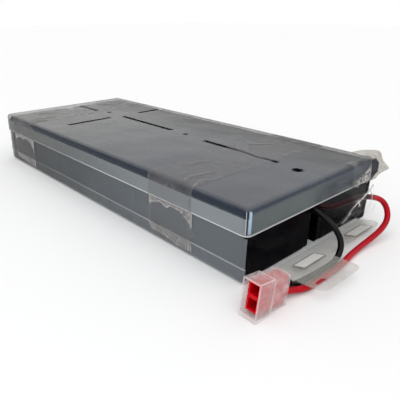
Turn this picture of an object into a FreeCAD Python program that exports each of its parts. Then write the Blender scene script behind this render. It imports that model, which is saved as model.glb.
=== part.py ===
import FreeCAD, Part
import math
import os

os.makedirs("parts", exist_ok=True)

# Battery cartridge: six sealed batteries lie on their sides between a formed tray and a
# formed lid, tops towards a channel down the middle. The tray's floor runs out at the front
# as a lip with a pull tab. Two leads leave the channel and end in a two-pole connector.
# Frame: origin at the centre of the tray's base, +X to the front, +Z up, millimetres.

# Formed shells
body_length = 463.0
body_width = 208.0
body_height = 69.0
sheet = 1.0                  # thickness of the formed plastic
shell_gap = 0.3              # between the tray's walls and the lid's skirt
skirt_depth = 24.0
wall_overlap = 15.5          # how far the tray's walls reach up inside the skirt
corner_radius = 6.0          # lid, upright corners
lid_edge_radius = 5.0        # lid, round its top face
tray_edge_radius = 4.0       # tray, along its bottom edges
step_height = 14.5           # shelf line round the tray's wall
step_inset = 0.5             # how far the wall below the line stands back

# Slits and holes in the lid, placed by shares of its half length and half width
slit_width = 3.6
long_slits = [(-0.976, -0.682, 0.115), (-0.419, 0.030, 0.173), (0.311, 0.536, 0.120), (0.682, 0.756, 0.101)]
cross_slits = [(-0.451, -0.654, -0.010), (-0.445, 0.500, 0.962)]
lid_holes = [(-0.583, 0.183, 2.2), (0.151, 0.163, 2.0), (0.873, 0.048, 4.0)]      # share, share, radius
tear_width = 1.2             # narrow crooked part of the foremost slit
tear_path = [(0.536, 0.120), (0.592, 0.115), (0.648, 0.082), (0.682, 0.101)]

# Batteries, which fill the shells up to these clearances
channel_width = 14.0         # between the two rows
rear_gap = 3.7               # behind the rearmost batteries
foam_thickness = 2.0
cover_height = 9.0
cover_inset = 0.4            # step between the cover and the case
case_radius = 3.0
end_gap = 0.5                # between batteries end to end
front_gap = 1.5              # from the front batteries to the lid's skirt
base_gap = 0.2               # from the batteries' bases to the tray's lower wall
foam_width = 25.0
foam_set_back = 10.0         # from the ends of a row
terminal_inset = 8.0         # from a battery's end to its terminals
terminal_edge = 7.5          # from its sides to its terminals
pocket_size = 14.0           # recess round a terminal
pocket_depth = 3.0
blade_width = 6.35
blade_thickness = 0.8
blade_rise = 6.0             # above the cover

# Push-on receptacles and the wires between batteries
receptacle_length = 8.4
receptacle_thickness = 5.0
receptacle_gap = 0.3         # to the cover and to the centre of the channel
blade_fit = 0.05             # round a blade inside its receptacle
barrel_radius = 3.0
barrel_reach = 12.0          # from the blade's middle to the end of the barrel
jumper_diameter = 4.0
jumper_start = 36.0          # level run out of each barrel

# Lip and pull tab; shares are of the body's half width
lip_reach = 24.5             # ahead of the lid's skirt
lip_rise = 7.0               # underside of the sheet at the lip's edge
lip_side_gap = 13.7          # from the tray's walls to the lip's ends
lip_corner = 14.0
tab_reach = 30.0             # ahead of the lip's edge
tab_rise = 10.7              # underside of the sheet at the tab's end
tab_sides = (-0.7115, -0.1154)
tab_taper = 5.0
tab_corner = 8.0
bend_radius = 5.0
slot_back = 11.0             # from the tab's end to the slot's centre
slot_in = 13.0               # from the tab's left side to it
slot_length = 14.0
slot_width = 6.0
pad_rise = 0.8
pad_margin = 1.5             # from the lip's edge
pad_depth = 12.5
pad_sides = [(-0.500, -0.173), (0.346, 0.673)]
pad_corner = 2.0

# Adhesive tape round the shells, and the loose film at the far front corner
tape_thickness = 0.2
tape_gap = 0.05
tape_width = 60.0
tape_shares = {"tape_front": 0.6004, "tape_rear": -0.7603}     # middles, of the half length
tape_foot = 5.0              # height at which the tape ends
film_thickness = 0.3
film_gap = 0.3               # leaves room for the tape that passes below it
film_start_share = -0.479    # of the half length
film_on_top = 10.0           # strip on the lid's top, in from its rounded far edge
film_lift = 1.0              # its lower edge above the skirt's
curtain_left, curtain_right = 0.365, 0.577      # of the half width
# Hanging part of the film, over the red lead: shares of the lip's reach and of the body's height
curtain_profile = [(0.0, 0.899), (0.0, 0.754), (0.531, 0.746), (0.898, 0.681), (0.959, 0.551), (0.490, 0.203)]

# Connector, in its own axes: X across, Y from the mating face to the leads, Z up
connector_out = 27.7         # mating face ahead of the lid's skirt
connector_aside = 24.2       # and outside the near wall
connector_height = 17.0
connector_turn = -2.0        # about Z
connector_tilt = -6.0        # nose up
pole_width = 11.0
pole_height = 12.0
pole_length = 32.0
pole_wall = 1.6
mouth_depth = 15.0
contact_set_back = 9.0
contact_thickness = 1.6
contact_width = 6.4
contact_barrel = 3.3         # radius
contact_end = 27.0           # where a lead meets its contact, inside the housing
cap_gap = 0.4
cap_wall = 1.2
cap_front = 4.0              # how far the cap stands out past the mating face
cap_seam = 13.0              # where its wide front section ends
cap_extra = 1.2              # how much wider that section is, each side
cap_drop = 4.0               # how much deeper it is at its front

# Leads: battery terminal, channel, out below the skirt, under the tab, connector
lead_diameter = 5.5
floor_gap = 0.15             # under a lead that lies in front of the tray
lead_start = 30.0            # level run out of each barrel
contact_gap = 0.55           # between the black lead and its contact
red_run_in = 8.0             # straight run into the contact
arc_share = 0.45             # part of a run given up to the arc at each of its ends
cut_margin = 10.0            # how far a cutting block runs past what it cuts
# Corners of the leads. In the channel: shares of the way to the front, of the lane, and of
# the height. Outside: shares of the lip's reach, of the half width, and of the height.
# Heights count from a lead on the floor, 0, to the skirt's lower edge, 1.
black_channel = [(0.5543, -0.971, 1.2138), (0.8165, -0.971, 1.0237), (1.0, -0.571, 0.8432)]
black_outside = [(0.7224, -0.0010, 0.6105), (1.1224, -0.0029, 0.2922), (1.2122, -0.1087, 0.0095),
                 (1.2204, -0.2644, 0.0), (1.2000, -0.4087, 0.001), (1.1469, -0.5577, 0.0),
                 (1.0980, -0.7308, 0.001), (1.1429, -0.8385, 0.3112)]
red_channel = [(0.5543, 0.943, 1.1663), (0.8390, 0.914, 0.9382)]
red_outside = [(0.2531, 0.0346, 0.9097), (0.6245, 0.2721, 1.0143), (0.6653, 0.4971, 0.9715),
               (0.9388, 0.7115, 0.8290), (1.1633, 0.7712, 0.6081), (1.3510, 0.7365, 0.3634),
               (1.4204, 0.6010, 0.2233), (1.3673, 0.4519, 0.1116), (1.3184, 0.2885, 0.0451),
               (1.3429, 0.0769, 0.0095), (1.4449, -0.0962, 0.0), (1.4898, -0.2885, 0.001),
               (1.4694, -0.5000, 0.0), (1.5020, -0.6827, 0.0170)]

# Values that follow from the ones above
tray_half_length = body_length / 2 - sheet - shell_gap
tray_half_width = body_width / 2 - sheet - shell_gap
tray_top = body_height - skirt_depth + wall_overlap
battery_base = tray_half_width - step_inset - sheet - base_gap
battery_top = channel_width / 2
battery_front = body_length / 2 - sheet - front_gap
row_rear = -tray_half_length + step_inset + sheet + rear_gap
battery_length = (battery_front - row_rear - 2 * end_gap) / 3
battery_pitch = battery_length + end_gap
foam_top = body_height - sheet
foam_bottom = foam_top - foam_thickness
battery_depth = foam_bottom - sheet
lane = battery_top / 2       # middle of each half of the channel
upper_terminal = foam_bottom - terminal_edge
lower_terminal = sheet + terminal_edge
skirt_edge = body_height - skirt_depth
lip_edge = body_length / 2 + lip_reach
lip_half_width = tray_half_width - lip_side_gap
tab_end = lip_edge + tab_reach
tab_left, tab_right = [share * body_width / 2 for share in tab_sides]
connector_face = (body_length / 2 + connector_out, -body_width / 2 - connector_aside, connector_height)


def along(share):
    return share * body_length / 2


def across(share):
    return share * body_width / 2


def block(x0, x1, y0, y1, z0, z1):
    corner = FreeCAD.Vector(x0, y0, z0)
    return Part.makeBox(x1 - x0, y1 - y0, z1 - z0, corner)


def edges_along(shape, axis, test=None):
    found = []
    for edge in shape.Edges:
        ends = [vertex.Point for vertex in edge.Vertexes]
        if len(ends) != 2:
            continue
        run = ends[1].sub(ends[0])
        if run.Length < 1e-6:
            continue
        run.normalize()
        if abs(abs(run.dot(axis)) - 1) < 1e-6:
            if test is None or test(edge.CenterOfMass):
                found.append(edge)
    return found


def edges_at_height(shape, height):
    found = []
    for edge in shape.Edges:
        if all(abs(vertex.Point.z - height) < 1e-6 for vertex in edge.Vertexes):
            if abs(edge.CenterOfMass.z - height) < 1e-6:
                found.append(edge)
    return found


X_AXIS = FreeCAD.Vector(1, 0, 0)
Y_AXIS = FreeCAD.Vector(0, 1, 0)
Z_AXIS = FreeCAD.Vector(0, 0, 1)


def rounded_block(x0, x1, y0, y1, z0, z1, upright_radius):
    """A block with rounded upright corners."""
    shape = block(x0, x1, y0, y1, z0, z1)
    return shape.makeFillet(upright_radius, edges_along(shape, Z_AXIS))


def prism_along_x(outline, x0, x1):
    """Extrude a closed (y, z) outline from x0 to x1."""
    points = [FreeCAD.Vector(x0, y, z) for y, z in outline]
    face = Part.Face(Part.makePolygon(points + points[:1]))
    return face.extrude(FreeCAD.Vector(x1 - x0, 0, 0))


def prism_along_y(outline, y0, y1):
    """Extrude a closed (x, z) outline from y0 to y1."""
    points = [FreeCAD.Vector(x, y0, z) for x, z in outline]
    face = Part.Face(Part.makePolygon(points + points[:1]))
    return face.extrude(FreeCAD.Vector(0, y1 - y0, 0))


def prism_up(outline, z0, z1):
    """Extrude a closed (x, y) outline from z0 to z1."""
    points = [FreeCAD.Vector(x, y, z0) for x, y in outline]
    face = Part.Face(Part.makePolygon(points + points[:1]))
    return face.extrude(FreeCAD.Vector(0, 0, z1 - z0))


def obround(x0, x1, y0, y1, z0, z1, along_x):
    """A slot with round ends between two points of its centre line, given with its width."""
    shape = block(x0, x1, y0, y1, z0, z1)
    width = (y1 - y0) if along_x else (x1 - x0)
    return shape.makeFillet(width / 2 - 0.01, edges_along(shape, Z_AXIS))


def tube(points, radius, name):
    """Straight runs joined by tangent arcs, each as large as its two runs allow."""
    corners = [FreeCAD.Vector(*point) for point in points]
    edges = []
    start = corners[0]
    radii = []
    for before, corner, after in zip(corners, corners[1:], corners[2:]):
        run_in = corner.sub(before)
        run_out = after.sub(corner)
        shorter = min(run_in.Length, run_out.Length)
        turn = run_in.getAngle(run_out)
        back = arc_share * shorter
        bend = back / math.tan(turn / 2)
        run_in.normalize()
        run_out.normalize()
        arc_start = corner.sub(run_in * back)
        arc_end = corner.add(run_out * back)
        inward = run_out.sub(run_in)
        inward.normalize()
        to_middle = bend / math.cos(turn / 2) - bend
        arc_middle = corner.add(inward * to_middle)
        edges.append(Part.LineSegment(start, arc_start).toShape())
        edges.append(Part.Arc(arc_start, arc_middle, arc_end).toShape())
        start = arc_end
        radii.append(round(bend, 1))
    edges.append(Part.LineSegment(start, corners[-1]).toShape())
    path = Part.Wire(edges)
    length = path.Length
    first_run = corners[1].sub(corners[0])
    circle = Part.makeCircle(radius, corners[0], first_run)
    solid = path.makePipeShell([Part.Wire([circle])], True, False)
    expected = math.pi * radius ** 2 * length
    print(name, "length", round(length, 1), "volume ratio", round(solid.Volume / expected, 4), "radii", radii)
    return solid


nodes = {}


# --- Tray: floor, two side walls, rear wall, lip and pull tab -------------------------

def tray_body():
    low_x = tray_half_length - step_inset
    low_y = tray_half_width - step_inset
    upper_radius = corner_radius - sheet - shell_gap
    front = tray_half_length
    # The front end is cut square, so the blocks run past it first
    past = front + 20.0
    upper = rounded_block(-tray_half_length, past, -tray_half_width, tray_half_width,
                          step_height, tray_top, upper_radius)
    lower = rounded_block(-low_x, past, -low_y, low_y, 0.0, step_height, upper_radius - step_inset)
    lower = lower.makeFillet(tray_edge_radius, edges_at_height(lower, 0.0))
    outer = upper.fuse(lower)
    inner_radius = upper_radius - sheet
    hollow_upper = rounded_block(-tray_half_length + sheet, past + 20, -tray_half_width + sheet,
                                 tray_half_width - sheet, step_height + sheet, tray_top + 5, inner_radius)
    hollow_lower = rounded_block(-low_x + sheet, past + 20, -low_y + sheet, low_y - sheet,
                                 sheet, step_height + 2 * sheet, inner_radius - step_inset)
    hollow_lower = hollow_lower.makeFillet(tray_edge_radius - sheet, edges_at_height(hollow_lower, sheet))
    body = outer.cut(hollow_upper.fuse(hollow_lower))
    ahead = block(front, past + 10, -body_width, body_width, -5, body_height)
    # Inside the skirt the walls end behind the lid's rounded corners
    relief = block(front - corner_radius, past + 10, -body_width, body_width,
                   body_height - skirt_depth - 2 * sheet, body_height)
    return body.cut(ahead).cut(relief)


def lip_band(low, high):
    """The bent sheet of lip and tab, between two heights above its own underside."""
    rear = tray_half_length - 6.0
    crease = tray_half_length
    bottom = [(rear, 0.0), (crease, 0.0), (lip_edge, lip_rise), (tab_end + 5, tab_rise)]
    lower = [(x, z + low) for x, z in bottom]
    upper = [(x, z + high) for x, z in bottom]
    band = prism_along_y(lower + upper[::-1], -lip_half_width - 5, lip_half_width + 5)
    bends = edges_along(band, Y_AXIS, lambda c: crease - 1 < c.x < lip_edge + 1)
    return band.makeFillet(bend_radius, bends)


def lip_and_tab():
    band = lip_band(0.0, sheet)
    rear = tray_half_length - 5.0
    lip_plan = block(rear, lip_edge, -lip_half_width, lip_half_width, -1, 20)
    outer_corners = edges_along(lip_plan, Z_AXIS, lambda c: c.x > lip_edge - 1)
    lip_plan = lip_plan.makeFillet(lip_corner, outer_corners)
    tab_plan = prism_up([(lip_edge - 12, tab_left), (tab_end, tab_left),
                         (tab_end, tab_right - tab_taper), (lip_edge - 12, tab_right)], -1, 20)
    outer_corners = edges_along(tab_plan, Z_AXIS, lambda c: c.x > tab_end - 1)
    tab_plan = tab_plan.makeFillet(tab_corner, outer_corners)
    slot_x = tab_end - slot_back
    slot_y = tab_left + slot_in
    slot = obround(slot_x - slot_width / 2, slot_x + slot_width / 2,
                   slot_y - slot_length / 2, slot_y + slot_length / 2, -1, 20, False)
    plan = lip_plan.fuse(tab_plan).cut(slot)
    shape = band.common(plan)
    x1 = lip_edge - pad_margin
    x0 = x1 - pad_depth
    for left, right in pad_sides:
        y0, y1 = across(left), across(right)
        raised = rounded_block(x0, x1, y0, y1, -1, 20, pad_corner)
        inside = rounded_block(x0 + sheet, x1 - sheet, y0 + sheet, y1 - sheet, -1, 20, pad_corner - sheet)
        shape = shape.fuse(lip_band(sheet / 2, sheet + pad_rise).common(raised))
        shape = shape.cut(lip_band(-0.5, pad_rise).common(inside))
    return shape


nodes["tray"] = tray_body().fuse(lip_and_tab()).removeSplitter()


# --- Lid: top with slits and holes, and a skirt over the tray's walls ----------------------

def lid():
    half_length = body_length / 2
    half_width = body_width / 2
    outer = rounded_block(-half_length, half_length, -half_width, half_width,
                          skirt_edge, body_height, corner_radius)
    outer = outer.makeFillet(lid_edge_radius, edges_at_height(outer, body_height))
    inner = rounded_block(-half_length + sheet, half_length - sheet, -half_width + sheet,
                          half_width - sheet, skirt_edge - 5, body_height - sheet, corner_radius - sheet)
    inner = inner.makeFillet(lid_edge_radius - sheet, edges_at_height(inner, body_height - sheet))
    shape = outer.cut(inner)
    low = body_height - 3 * sheet
    high = body_height + sheet
    for start, end, aside in long_slits:
        y = across(aside)
        shape = shape.cut(obround(along(start), along(end), y - slit_width / 2, y + slit_width / 2,
                                  low, high, True))
    for middle, near, far in cross_slits:
        x = along(middle)
        shape = shape.cut(obround(x - slit_width / 2, x + slit_width / 2, across(near), across(far),
                                  low, high, False))
    for middle, aside, radius in lid_holes:
        centre = FreeCAD.Vector(along(middle), across(aside), low)
        shape = shape.cut(Part.makeCylinder(radius, high - low, centre))
    near_side = [(along(x), across(y) - tear_width / 2) for x, y in tear_path]
    far_side = [(along(x), across(y) + tear_width / 2) for x, y in tear_path]
    near_side[0] = (near_side[0][0] - slit_width / 2, near_side[0][1])
    far_side[0] = (far_side[0][0] - slit_width / 2, far_side[0][1])
    near_side[-1] = (near_side[-1][0] + slit_width / 2, near_side[-1][1])
    far_side[-1] = (far_side[-1][0] + slit_width / 2, far_side[-1][1])
    return shape.cut(prism_up(near_side + far_side[::-1], low, high))


nodes["lid"] = lid()


# --- Batteries -----------------------------------------------------------------------------
# Numbered along the series chain: up the near row from the front, back along the far row.

battery_places = {1: (-1, 0), 2: (-1, 1), 3: (-1, 2), 4: (1, 2), 5: (1, 1), 6: (1, 0)}


def battery_rear(column):
    return battery_front - battery_length - column * battery_pitch


def terminal_x(column):
    return battery_rear(column) + terminal_inset


def mirrored(shape, side):
    """Shapes are drawn for the far row and mirrored for the near row."""
    if side > 0:
        return shape
    return shape.mirror(FreeCAD.Vector(0, 0, 0), Y_AXIS)


def battery_case(column):
    rear = battery_rear(column)
    seam = battery_top + cover_height
    shape = block(rear, rear + battery_length, seam, battery_base, sheet, sheet + battery_depth)
    rounded = edges_along(shape, Y_AXIS)
    rounded += [edge for edge in shape.Edges
                if all(abs(vertex.Point.y - battery_base) < 1e-6 for vertex in edge.Vertexes)]
    return shape.makeFillet(case_radius, rounded)


def battery_cover(column):
    rear = battery_rear(column)
    inset = cover_inset
    shape = block(rear + inset, rear + battery_length - inset, battery_top, battery_top + cover_height,
                  sheet + inset, sheet + battery_depth - inset)
    shape = shape.makeFillet(case_radius - inset, edges_along(shape, Y_AXIS))
    for height in (upper_terminal, lower_terminal):
        middle = terminal_x(column)
        pocket = block(middle - pocket_size / 2, middle + pocket_size / 2, battery_top - 1,
                       battery_top + pocket_depth, height - pocket_size / 2, height + pocket_size / 2)
        shape = shape.cut(pocket)
    return shape


def blade(column, height):
    middle = terminal_x(column)
    return block(middle - blade_width / 2, middle + blade_width / 2, battery_top - blade_rise,
                 battery_top + pocket_depth, height - blade_thickness / 2, height + blade_thickness / 2)


def receptacle(column, height, towards):
    """Sleeved flag receptacle over a blade, its barrel pointing along X."""
    middle = terminal_x(column)
    half = receptacle_length / 2
    body = block(middle - half, middle + half, receptacle_gap, battery_top - receptacle_gap,
                 height - receptacle_thickness / 2, height + receptacle_thickness / 2)
    body = body.makeFillet(0.8, edges_along(body, Y_AXIS))
    start = FreeCAD.Vector(middle, lane, height)
    barrel = Part.makeCylinder(barrel_radius, barrel_reach, start, X_AXIS * towards)
    socket = block(middle - blade_width / 2 - blade_fit, middle + blade_width / 2 + blade_fit,
                   battery_top - blade_rise - blade_fit, battery_top + 1,
                   height - blade_thickness / 2 - blade_fit, height + blade_thickness / 2 + blade_fit)
    return body.fuse(barrel).removeSplitter().cut(socket)


# Which terminal is positive, and which way its receptacle's barrel points
upper_is_positive = {-1: False, 1: True}
barrel_directions = {
    (1, "upper"): 1, (1, "lower"): -1,
    (2, "upper"): 1, (2, "lower"): -1,
    (3, "upper"): 1, (3, "lower"): 1,
    (4, "upper"): 1, (4, "lower"): 1,
    (5, "upper"): 1, (5, "lower"): -1,
    (6, "upper"): 1, (6, "lower"): -1,
}
terminal_heights = {"upper": upper_terminal, "lower": lower_terminal}

for number, (side, column) in battery_places.items():
    nodes[f"battery_{number}_case"] = mirrored(battery_case(column), side)
    nodes[f"battery_{number}_cover"] = mirrored(battery_cover(column), side)
    for level, height in terminal_heights.items():
        positive = upper_is_positive[side] == (level == "upper")
        pole = "positive" if positive else "negative"
        towards = barrel_directions[(number, level)]
        nodes[f"battery_{number}_{pole}_blade"] = mirrored(blade(column, height), side)
        flag = receptacle(column, height, towards)
        nodes[f"battery_{number}_{pole}_receptacle"] = mirrored(flag, side)

# Foam strips between the batteries and the lid, one on each row
foam_middle = (battery_base + battery_top) / 2
foam = block(row_rear + foam_set_back, battery_front - foam_set_back, foam_middle - foam_width / 2,
             foam_middle + foam_width / 2, foam_bottom, foam_top)
nodes["foam_strip_far"] = foam
nodes["foam_strip_near"] = mirrored(foam, -1)


# --- Wires between the batteries, held in the channel ----------------------------------------

def wire_end(number, level):
    side, column = battery_places[number]
    towards = barrel_directions[(number, level)]
    x = terminal_x(column) + towards * barrel_reach
    return FreeCAD.Vector(x, side * lane, terminal_heights[level]), towards


def straight_jumper(first, second, name):
    start, start_way = wire_end(*first)
    end, end_way = wire_end(*second)
    points = [start, start.add(X_AXIS * start_way * jumper_start),
              end.add(X_AXIS * end_way * jumper_start), end]
    return tube([tuple(point) for point in points], jumper_diameter / 2, name)


nodes["jumper_1_2"] = straight_jumper((1, "lower"), (2, "upper"), "jumper_1_2")
nodes["jumper_2_3"] = straight_jumper((2, "lower"), (3, "upper"), "jumper_2_3")
nodes["jumper_4_5"] = straight_jumper((4, "upper"), (5, "lower"), "jumper_4_5")
nodes["jumper_5_6"] = straight_jumper((5, "upper"), (6, "lower"), "jumper_5_6")

# The rear jumper crosses the channel in a loop that stands on edge
loop_start, _ = wire_end(3, "lower")
loop_end, _ = wire_end(4, "lower")
# Along X from the barrels' ends, across as a share of the lane, and up
loop_offsets = [(0, -1.0, 0), (16, -1.0, 0), (34, -1.0, 0.2), (50.6, -0.9, 0), (58.6, -0.5, 8),
                (58.6, -0.1, 19.3), (50.6, 0.3, 27.3), (39.3, 0.7, 27.3), (25.9, 0.95, 13.8),
                (12, 1.0, 0), (0, 1.0, 0)]
loop_points = [(loop_start.x + dx, share * lane, lower_terminal + dz) for dx, share, dz in loop_offsets]
nodes["jumper_3_4"] = tube(loop_points, jumper_diameter / 2, "jumper_3_4")


# --- Connector ------------------------------------------------------------------------------------

def set_connector(shape):
    placed = shape.copy()
    placed.rotate(FreeCAD.Vector(0, 0, 0), X_AXIS, connector_tilt)
    placed.rotate(FreeCAD.Vector(0, 0, 0), Z_AXIS, connector_turn)
    placed.translate(FreeCAD.Vector(*connector_face))
    return placed


def pole_housing(low):
    half = pole_width / 2
    shape = block(-half, half, 0, pole_length, low, low + pole_height)
    shape = shape.makeFillet(0.8, edges_along(shape, Y_AXIS))
    mouth = block(-half + pole_wall, half - pole_wall, -1, mouth_depth,
                  low + pole_wall, low + pole_height - pole_wall)
    middle = FreeCAD.Vector(0, mouth_depth - 1, low + pole_height / 2)
    bore = Part.makeCylinder(contact_barrel + blade_fit, pole_length, middle, Y_AXIS)
    rear = block(-half + pole_wall, half - pole_wall, contact_end - 1, pole_length + 1,
                 low + pole_wall, low + pole_height - pole_wall)
    return shape.cut(mouth).cut(bore).cut(rear)


def pole_contact(low):
    middle = low + pole_height / 2
    half = contact_width / 2
    plate = block(-half, half, contact_set_back, mouth_depth + 1, middle - contact_thickness / 2,
                  middle + contact_thickness / 2)
    start = FreeCAD.Vector(0, mouth_depth, middle)
    barrel = Part.makeCylinder(contact_barrel, contact_end - mouth_depth, start, Y_AXIS)
    return plate.fuse(barrel)


def connector_cap():
    half_width = pole_width / 2 + cap_gap
    half_height = pole_height + cap_gap
    wall = cap_wall
    rear = block(-half_width - wall, half_width + wall, cap_seam, pole_length + 1,
                 -half_height - wall, half_height + wall)
    front_width = half_width + wall + cap_extra
    front_top = half_height + wall + cap_extra
    bottom_rear = half_height + wall + cap_extra
    profile = [(-cap_front, -bottom_rear - cap_drop + 1.6), (cap_seam, -bottom_rear),
               (cap_seam, front_top), (-cap_front, front_top)]
    front = Part.Face(Part.makePolygon([FreeCAD.Vector(-front_width, y, z)
                                        for y, z in profile + profile[:1]]))
    front = front.extrude(FreeCAD.Vector(2 * front_width, 0, 0))
    front = front.makeFillet(1.2, edges_along(front, Y_AXIS))
    inside_rear = block(-half_width, half_width, 0, pole_length + 5, -half_height, half_height)
    inside_front = block(-front_width + wall, front_width - wall, -cap_front - 5, cap_seam - wall,
                         -bottom_rear + wall, front_top - wall)
    return rear.fuse(front).cut(inside_rear).cut(inside_front).removeSplitter()


nodes["connector_housing_negative"] = set_connector(pole_housing(0.0))
nodes["connector_housing_positive"] = set_connector(pole_housing(-pole_height))
nodes["connector_contact_negative"] = set_connector(pole_contact(0.0))
nodes["connector_contact_positive"] = set_connector(pole_contact(-pole_height))
nodes["connector_cap"] = set_connector(connector_cap())


def lead_entry(low, back):
    """A point on a pole's axis, this far behind the end of its contact."""
    point = Part.Vertex(0, contact_end + back, low + pole_height / 2)
    return tuple(set_connector(point).Point)


# --- Leads -----------------------------------------------------------------------------------------

def lead_height(share):
    on_floor = lead_diameter / 2 + floor_gap
    return on_floor + share * (skirt_edge - on_floor)


def lead_route(start, channel, outside):
    """From a battery's receptacle along the channel and out below the skirt."""
    front = body_length / 2
    route = [tuple(start), (start.x + lead_start, start.y, start.z)]
    route += [(start.x + share * (front - start.x), side * lane, lead_height(height))
              for share, side, height in channel]
    route += [(front + out * lip_reach, across(side), lead_height(height)) for out, side, height in outside]
    return route


black_start, _ = wire_end(1, "upper")
black_route = lead_route(black_start, black_channel, black_outside)
black_route += [lead_entry(0.0, contact_gap)]
red_start, _ = wire_end(6, "upper")
red_route = lead_route(red_start, red_channel, red_outside)
red_route += [lead_entry(-pole_height, red_run_in), lead_entry(-pole_height, 0.0)]
for name, route in (("black_lead", black_route), ("red_lead", red_route)):
    print(name, [tuple(round(value, 2) for value in point) for point in route])
    nodes[name] = tube(route, lead_diameter / 2, name)


# --- Tape and film ------------------------------------------------------------------------------------

def shell_profile(offset, foot):
    """Section across the closed shells, grown by an offset, from a foot height up."""
    lid_half = body_width / 2 + offset
    tray_half = tray_half_width + offset
    shelf = skirt_edge - offset
    top = body_height + offset
    outline = [(-tray_half, foot), (-tray_half, shelf), (-lid_half, shelf), (-lid_half, top),
               (lid_half, top), (lid_half, shelf), (tray_half, shelf), (tray_half, foot)]
    return outline, lid_edge_radius + offset


def shell_prism(offset, foot, x0, x1):
    outline, radius = shell_profile(offset, foot)
    shape = prism_along_x(outline, x0, x1)
    top = body_height + offset
    return shape.makeFillet(radius, edges_along(shape, X_AXIS, lambda c: c.z > top - 0.01))


def tape_band(middle):
    x0 = middle - tape_width / 2
    x1 = middle + tape_width / 2
    outer = shell_prism(tape_gap + tape_thickness, tape_foot, x0, x1)
    inner = shell_prism(tape_gap, tape_foot - cut_margin, x0 - cut_margin, x1 + cut_margin)
    return outer.cut(inner)


for name, share in tape_shares.items():
    nodes[name] = tape_band(along(share))


def lid_skin(offset, foot):
    """Outside of the lid grown by an offset, from a foot height up."""
    half_length = body_length / 2 + offset
    half_width = body_width / 2 + offset
    shape = rounded_block(-half_length, half_length, -half_width, half_width,
                          foot, body_height + offset, corner_radius + offset)
    return shape.makeFillet(lid_edge_radius + offset, edges_at_height(shape, body_height + offset))


def wrap_film():
    """Loose film on the lid's far edge, round its far front corner and down over the leads."""
    foot = skirt_edge + film_lift
    skin = lid_skin(film_gap + film_thickness, foot).cut(lid_skin(film_gap, foot - cut_margin))
    far_edge = body_width / 2 - lid_edge_radius
    ahead = body_length / 2 + cut_margin
    above = body_height + cut_margin
    left, right = across(curtain_left), across(curtain_right)
    side = block(along(film_start_share), ahead, far_edge - film_on_top, body_width, foot, above)
    front = block(body_length / 2 - lid_edge_radius, ahead, left, body_width, foot, above)
    face_x = body_length / 2 + film_gap
    back = [(face_x + out * lip_reach, share * body_height) for out, share in curtain_profile]
    outside = [(x + film_thickness, z + film_thickness) for x, z in back]
    curtain = prism_along_y(back + outside[::-1], left, right)
    return skin.common(side.fuse(front)).fuse(curtain).removeSplitter()


nodes["wrap_film"] = wrap_film()


for name, shape in nodes.items():
    if not shape.isValid() or not shape.Solids:
        print("NOT VALID", name)
    shape.exportStep(f"parts/{name}.step")
print(len(nodes), "nodes")
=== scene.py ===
import bpy
import math
from mathutils import Vector, Matrix, noise


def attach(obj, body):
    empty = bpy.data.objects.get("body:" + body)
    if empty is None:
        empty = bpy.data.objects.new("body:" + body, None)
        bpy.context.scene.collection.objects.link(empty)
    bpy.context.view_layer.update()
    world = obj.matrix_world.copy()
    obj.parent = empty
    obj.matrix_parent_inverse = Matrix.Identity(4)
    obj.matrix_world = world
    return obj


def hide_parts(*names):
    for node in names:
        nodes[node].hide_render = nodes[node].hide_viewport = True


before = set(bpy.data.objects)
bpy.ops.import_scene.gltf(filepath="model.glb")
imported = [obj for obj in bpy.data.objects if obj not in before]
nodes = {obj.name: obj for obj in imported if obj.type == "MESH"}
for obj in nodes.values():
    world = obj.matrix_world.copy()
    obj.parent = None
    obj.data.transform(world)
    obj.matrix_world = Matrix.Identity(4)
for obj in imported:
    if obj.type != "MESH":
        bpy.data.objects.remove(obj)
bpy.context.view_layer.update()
mm = 0.001
print("frame loaded:", len(nodes), "nodes")


# wraps a node's output, so that an expression in the script adds the nodes it needs
class Signal:
    def __init__(self, tree, socket=None):
        self.tree = tree
        self.socket = socket

    def node(self, kind, settings, sockets, output=0):
        made = self.tree.nodes.new(kind)
        for name, value in settings.items():
            setattr(made, name, value)
        for name, value in sockets.items():
            if isinstance(value, Signal):
                self.tree.links.new(value.socket, made.inputs[name])
            else:
                made.inputs[name].default_value = value
        return Signal(self.tree, made.outputs[output])

    def maths(self, operation, first, second=0.0):
        return self.node("ShaderNodeMath", {"operation": operation}, {0: first, 1: second})

    def __add__(self, other):
        return self.maths("ADD", self, other)

    __radd__ = __add__

    def __sub__(self, other):
        return self.maths("SUBTRACT", self, other)

    def __rsub__(self, other):
        return self.maths("SUBTRACT", other, self)

    def __mul__(self, other):
        return self.maths("MULTIPLY", self, other)

    __rmul__ = __mul__

    def __pow__(self, other):
        return self.maths("POWER", self, other)

    def within(self, low, high):
        # 0 at low and 1 at high, smooth between them
        return self.node("ShaderNodeMapRange", {"interpolation_type": "SMOOTHSTEP"},
                         {"Value": self, "From Min": low, "From Max": high})

    def span(self, low, high):
        # the same for a length, with both ends in millimetres
        return self.within(low * mm, high * mm)

    def blend(self, first, second):
        return self * (second - first) + first

    def colours(self, first, second):
        return self.node("ShaderNodeMix", {"data_type": "RGBA"}, {0: self, 6: first, 7: second}, 2)


def newPaint(name):
    paint = bpy.data.materials.new(name)
    paint.use_nodes = True
    return paint, paint.node_tree.nodes["Principled BSDF"], Signal(paint.node_tree)


def setShader(graph, shader, sockets):
    for name, value in sockets.items():
        if isinstance(value, Signal):
            graph.tree.links.new(value.socket, shader.inputs[name])
        else:
            shader.inputs[name].default_value = value


def place(graph, stretch=(1, 1, 1)):
    spot = graph.node("ShaderNodeTexCoord", {}, {}, "Object")
    return graph.node("ShaderNodeMapping", {}, {"Vector": spot, "Scale": stretch})


def cloud(graph, size, detail, rough, stretch=(1, 1, 1)):
    # soft noise, its size in millimetres
    return graph.node("ShaderNodeTexNoise", {}, {"Vector": place(graph, stretch), "Scale": 1 / (size * mm),
                                                 "Detail": detail, "Roughness": rough})


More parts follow.
